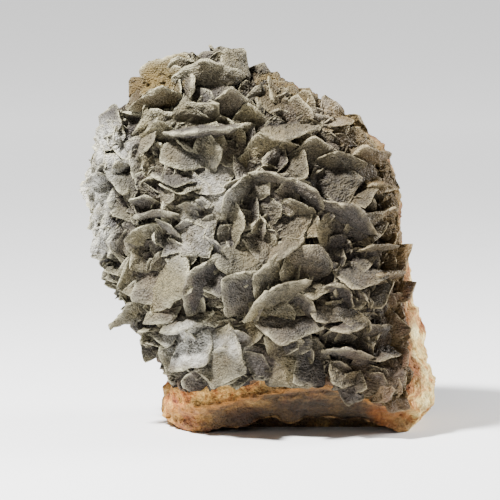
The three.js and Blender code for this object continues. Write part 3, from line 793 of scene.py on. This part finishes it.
def calcite_material(group):
    """Matte grey-beige calcite, paler at the rims from their thin translucent edges and a painted
    highlight, with painted shade in its depths, browner where the crystal is stained.
    """
    material, tree, shader, vector = new_material("grey calcite")
    patches = noise_of(tree, vector, 20, 4)
    base = ramp(tree, patches, (
        (0.34, colour(80, 77, 71)),
        (0.5, colour(100, 95, 82)),
        (0.66, colour(124, 116, 94)),
    ))
    tinted = ramp(tree, attribute(tree, "tint"), (
        (0.0, colour(170, 165, 174)), (0.3, colour(206, 200, 196)), (0.6, colour(230, 226, 202)),
        (1.0, colour(255, 250, 218)),
    ))
    base = mixed(tree, 0.9, base, tinted, "MULTIPLY")
    height, specks = grained(tree, vector, group, 1500)
    clouds = ramp(tree, noise_of(tree, vector, 2.6, 5, 0.7), ((0.36, 0.66), (0.62, 1.06)))
    base = mixed(tree, 1.0, base, clouds, "MULTIPLY")
    speckled = ramp(tree, specks, ((0.1, 0.45), (0.9, 1.3)))
    base = mixed(tree, 1.0, base, speckled, "MULTIPLY")
    veins = ramp(tree, noise_of(tree, vector, 17, 4, 0.6), ((0.52, 0.0), (0.7, 0.2)))
    brown = ramp(tree, noise_of(tree, vector, 5, 4, 0.6), ((0.3, 0.6), (0.6, 1.0)))
    stain = maths(tree, "MAXIMUM", veins, maths(tree, "MULTIPLY", attribute(tree, "stain"), brown))
    along = add_node(tree, "ShaderNodeSeparateXYZ", {"Vector": vector})
    high = add_node(tree, "ShaderNodeMapRange", {"Value": along.outputs["Z"], 1: 0.04, 2: 0.12})
    yellow = ramp(tree, high.outputs["Result"], (
        (0.1, colour(98, 68, 36)), (0.3, colour(152, 128, 78)), (0.75, colour(118, 102, 66)),
        (0.9, colour(86, 72, 34)),
    ))
    base = mixed(tree, stain, base, yellow)
    frost = maths(tree, "MULTIPLY", attribute(tree, "frost"),
                  ramp(tree, noise_of(tree, vector, 3.5, 5, 0.7), ((0.38, 0.15), (0.58, 0.95))))
    base = mixed(tree, frost, base, colour(204, 202, 192))
    # Paler rims: partly the thin translucent edge, partly a painted highlight as of rims catching the
    # light.
    edge = ramp(tree, attribute(tree, "rim"), ((0.72, 0.0), (0.9, 0.2), (0.99, 0.65)))
    pale = maths(tree, "MULTIPLY", edge,
                 ramp(tree, noise_of(tree, vector, 6, 3), ((0.38, 0.15), (0.6, 1.0))))
    base = mixed(tree, pale, base, colour(200, 193, 160))
    # Darker and browner towards the right: partly the crystals' own brown, partly painted shade of the
    # side away from the key light.
    place = add_node(tree, "ShaderNodeMapRange", {"Value": along.outputs["X"], 1: -0.03, 2: 0.05})
    brown_and_shade_to_right = mixed(tree, place.outputs["Result"], (1, 1, 1, 1), colour(196, 180, 162))
    base = mixed(tree, 1.0, base, brown_and_shade_to_right, "MULTIPLY")
    # Painted shade: what lies nearest the rock turns a near-black brown, as in the shadow between the
    # crystals; stained crystals a lighter brown.
    depth = ramp(tree, attribute(tree, "proud"), ((0.0, 1.0), (0.2, 0.8), (0.6, 0.0)))
    deep = mixed(tree, attribute(tree, "stain"), colour(33, 24, 16), colour(92, 74, 36))
    base = mixed(tree, depth, base, deep)
    tree.links.new(base, shader.inputs["Base Color"])
    rough = ramp(tree, specks, ((0.0, 0.8), (1.0, 0.5)))
    tree.links.new(rough, shader.inputs["Roughness"])
    shader.inputs["Specular IOR Level"].default_value = 0.4
    bumped(tree, shader, height, 1.0, 0.0007)
    return material


def rock_material(group):
    """Broken iron-stained rock: brown in front, orange on the ridge, cream on both ends."""
    material, tree, shader, vector = new_material("iron-stained rock")
    beds = add_node(tree, "ShaderNodeMapping", {"Vector": vector, "Scale": (0.5, 0.5, 1.2)})
    streaks = noise_of(tree, beds.outputs["Vector"], 7, 8, 0.68, 0.6)
    dark = ramp(tree, streaks, (
        (0.32, colour(40, 26, 16)),
        (0.48, colour(74, 50, 27)),
        (0.58, colour(108, 76, 38)),
        (0.72, colour(168, 134, 80)),
    ))
    patches = noise_of(tree, vector, 9, 8, 0.7, 0.4)
    light = ramp(tree, patches, (
        (0.34, colour(126, 66, 34)),
        (0.43, colour(194, 138, 76)),
        (0.5, colour(228, 194, 118)),
        (0.64, colour(250, 232, 166)),
    ))
    along = add_node(tree, "ShaderNodeSeparateXYZ", {"Vector": vector})
    wander = maths(tree, "MULTIPLY", maths(tree, "SUBTRACT", noise_of(tree, vector, 16, 3), 0.5), 0.03)
    across = maths(tree, "ADD", along.outputs["X"], wander)
    place = add_node(tree, "ShaderNodeMapRange", {"Value": across, 1: -0.06, 2: 0.06})
    ends = ramp(tree, place.outputs["Result"], (
        (0.24, 0.8), (0.36, 0.06), (0.86, 0.05), (0.94, 1.0),
    ))
    upper = ramp(tree, attribute(tree, "ledge"), ((0.5, 0.0), (0.8, 1.0)))
    left = ramp(tree, place.outputs["Result"], ((0.4, 0.9), (0.55, 0.25)))
    ends = maths(tree, "MAXIMUM", ends, maths(tree, "MULTIPLY", upper, left))
    warm = ramp(tree, place.outputs["Result"], (
        (0.3, colour(236, 200, 156)), (0.7, colour(255, 255, 255)),
    ))
    light = mixed(tree, 1.0, light, warm, "MULTIPLY")
    base = mixed(tree, ends, dark, light)
    # Painted shade: the rock below the ridge is darkened, as under an overhang.
    under = ramp(tree, attribute(tree, "ledge"), ((0.0, 0.35), (0.4, 1.0)))
    base = mixed(tree, 1.0, base, under, "MULTIPLY")
    pits = ramp(tree, noise_of(tree, vector, 1.8, 5, 0.75), ((0.36, 0.6), (0.55, 1.0), (0.7, 1.15)))
    base = mixed(tree, 1.0, base, pits, "MULTIPLY")
    rust = ramp(tree, place.outputs["Result"], ((0.8, 0.0), (0.86, 0.75), (0.9, 0.75), (0.94, 0.0)))
    high = add_node(tree, "ShaderNodeMapRange", {"Value": along.outputs["Z"], 1: 0, 2: 0.1})
    lower = ramp(tree, high.outputs["Result"], ((0.5, 1.0), (0.62, 0.1), (0.8, 0.1), (0.92, 0.7)))
    rust = maths(tree, "MULTIPLY", rust, lower)
    base = mixed(tree, rust, base, colour(126, 72, 26))
    iron = maths(tree, "MULTIPLY", attribute(tree, "ridge"),
                 ramp(tree, noise_of(tree, vector, 5, 4), ((0.35, 0.3), (0.6, 1.0))))
    base = mixed(tree, iron, base, colour(152, 100, 40))
    height, specks = grained(tree, vector, group, 1100)
    speckled = ramp(tree, specks, ((0.1, 0.65), (0.9, 1.15)))
    base = mixed(tree, 1.0, base, speckled, "MULTIPLY")
    tree.links.new(base, shader.inputs["Base Color"])
    shader.inputs["Roughness"].default_value = 0.85
    normal = bumped(tree, shader, noise_of(tree, vector, 2.2, 6, 0.65), 0.8, 0.0014)
    bumped(tree, shader, height, 0.7, 0.0006, normal)
    return material


# Studio

def add_area_light(name, place, target, size, power):
    light = bpy.data.lights.new(name, "AREA")
    light.shape = "SQUARE"
    light.size = size * MM
    light.energy = power
    lamp = bpy.data.objects.new(name, light)
    lamp.location = Vector(place) * MM
    lamp.rotation_euler = (Vector(target) - Vector(place)).to_track_quat("-Z", "Y").to_euler()
    bpy.context.scene.collection.objects.link(lamp)


def floor_material():
    """A pale floor that gives off some light of its own further out, so it looks evenly lit."""
    material, tree, shader, vector = new_material("pale floor")
    shader.inputs["Base Color"].default_value = (0.8, 0.8, 0.8, 1)
    shader.inputs["Roughness"].default_value = 0.7
    away = add_node(tree, "ShaderNodeVectorMath", {0: vector}, operation="LENGTH")
    glow = ramp(tree, away.outputs["Value"], ((FLOOR_GLOW[0], 0.0), (FLOOR_GLOW[1], 1.0)))
    tree.links.new(glow, shader.inputs["Emission Color"])
    shader.inputs["Emission Strength"].default_value = 1.0
    return material


def make_studio():
    scene = bpy.context.scene
    world = bpy.data.worlds.new("studio")
    world.use_nodes = True
    background = world.node_tree.nodes["Background"]
    background.inputs["Color"].default_value = (1, 1, 1, 1)
    background.inputs["Strength"].default_value = AMBIENT
    scene.world = world

    add_area_light("key", *KEY_LIGHT)
    add_area_light("right", *RIGHT_LIGHT)
    add_area_light("front", *FRONT_LIGHT)

    bm = bmesh.new()
    bmesh.ops.create_grid(bm, x_segments=1, y_segments=1, size=FLOOR_SIZE)
    mesh = bpy.data.meshes.new("floor")
    bm.to_mesh(mesh)
    bm.free()
    floor = bpy.data.objects.new("floor", mesh)
    mesh.materials.append(floor_material())
    scene.collection.objects.link(floor)


def make_camera():
    camera = bpy.data.cameras.new("camera")
    camera.sensor_width = SENSOR_WIDTH
    camera.lens = SENSOR_WIDTH * CAMERA_DISTANCE / PICTURE_WIDTH
    camera.clip_end = 20
    rise = radians(CAMERA_RISE)
    eye = bpy.data.objects.new("camera", camera)
    eye.location = (CAMERA_TARGET + CAMERA_DISTANCE * Vector((0, -cos(rise), sin(rise)))) * MM
    eye.rotation_euler = (pi / 2 - rise, 0, 0)
    bpy.context.scene.collection.objects.link(eye)
    bpy.context.scene.camera = eye


noise.seed_set(SEED)  # noise_vector draws on it
make_camera()
make_studio()
rock_tree = BVHTree.FromBMesh(node_copy("rock_matrix"))
grain = grain_group()
calcite = calcite_material(grain)
make_rock(rock_material(grain))
bed, bed_tops = make_bed(calcite)
make_crystals(bed_tops, calcite)
